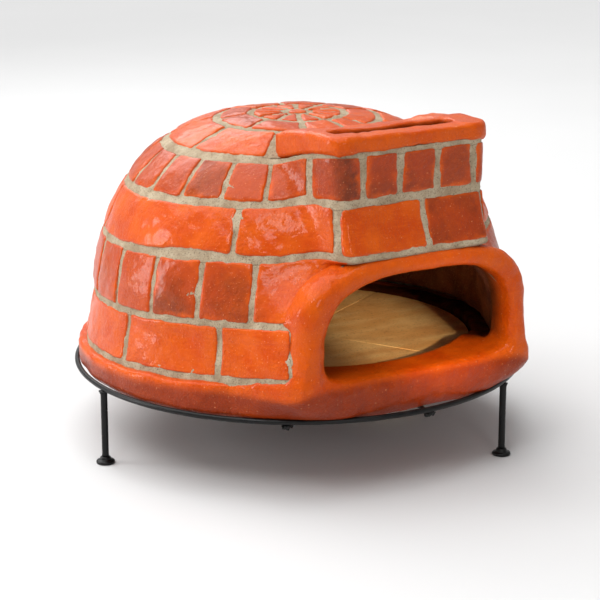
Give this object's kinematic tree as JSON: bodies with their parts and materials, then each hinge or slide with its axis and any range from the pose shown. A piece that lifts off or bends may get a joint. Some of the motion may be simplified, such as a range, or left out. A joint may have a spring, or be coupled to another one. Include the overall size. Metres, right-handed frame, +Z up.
{
  "type": "wood fired pizza oven",
  "caption": "Table-height clay pizza oven: brick-patterned dome with an arched mouth, a slotted flue hood at the front and a tiled floor, standing on a low round steel stand with legs.",
  "frame": {"origin": "bottom centre of the whole object's box, on the ground under the ring of the stand", "axes": "+Z up, the oven's mouth faces -Y, and +X is to the right of a viewer who faces the mouth"},
  "size_m": [0.6772, 0.668, 0.496],
  "materials": {
    "orange_clay": "hand-moulded clay under satin orange paint",
    "red_clay": "hand-moulded clay under satin red-brown paint, varied from brick to brick",
    "mortar": "gritty sand-coloured mortar",
    "inner_clay": "rough bare fired clay",
    "fire_tile": "matt unglazed fire tile",
    "black_steel": "semi-gloss black paint on steel rod"
  },
  "bodies": {
    "stand": {"stand_ring": "black_steel", "stand_leg_left": "black_steel", "stand_foot_left": "black_steel", "stand_leg_right": "black_steel", "stand_foot_right": "black_steel", "stand_leg_rear": "black_steel", "stand_foot_rear": "black_steel", "support_bar_left": "black_steel", "support_bar_right": "black_steel"},
    "oven": {"base_pan": "orange_clay", "dome_shell": "inner_clay", "door_surround": "orange_clay", "flue_cap": "orange_clay", "floor_tile_1": "fire_tile", "floor_tile_2": "fire_tile", "floor_tile_3": "fire_tile", "floor_tile_4": "fire_tile", "brick_course_1": "orange_clay", "brick_course_2": "red_clay", "brick_course_3": "orange_clay", "brick_course_4": "red_clay", "brick_course_5": "orange_clay", "brick_course_6": "red_clay", "brick_course_7": "orange_clay", "mortar_course_1": "mortar", "mortar_course_2": "mortar", "mortar_course_3": "mortar", "mortar_course_4": "mortar", "mortar_course_5": "mortar", "mortar_course_6": "mortar", "mortar_course_7": "mortar", "mortar_keystone": "mortar", "keystone_brick": "orange_clay"}
  },
  "joints": [
    {"name": "oven_lift", "type": "slide", "parent": "stand", "child": "oven", "axis": [0, 0, 1], "range_m": [0, 0.15]}
  ]
}
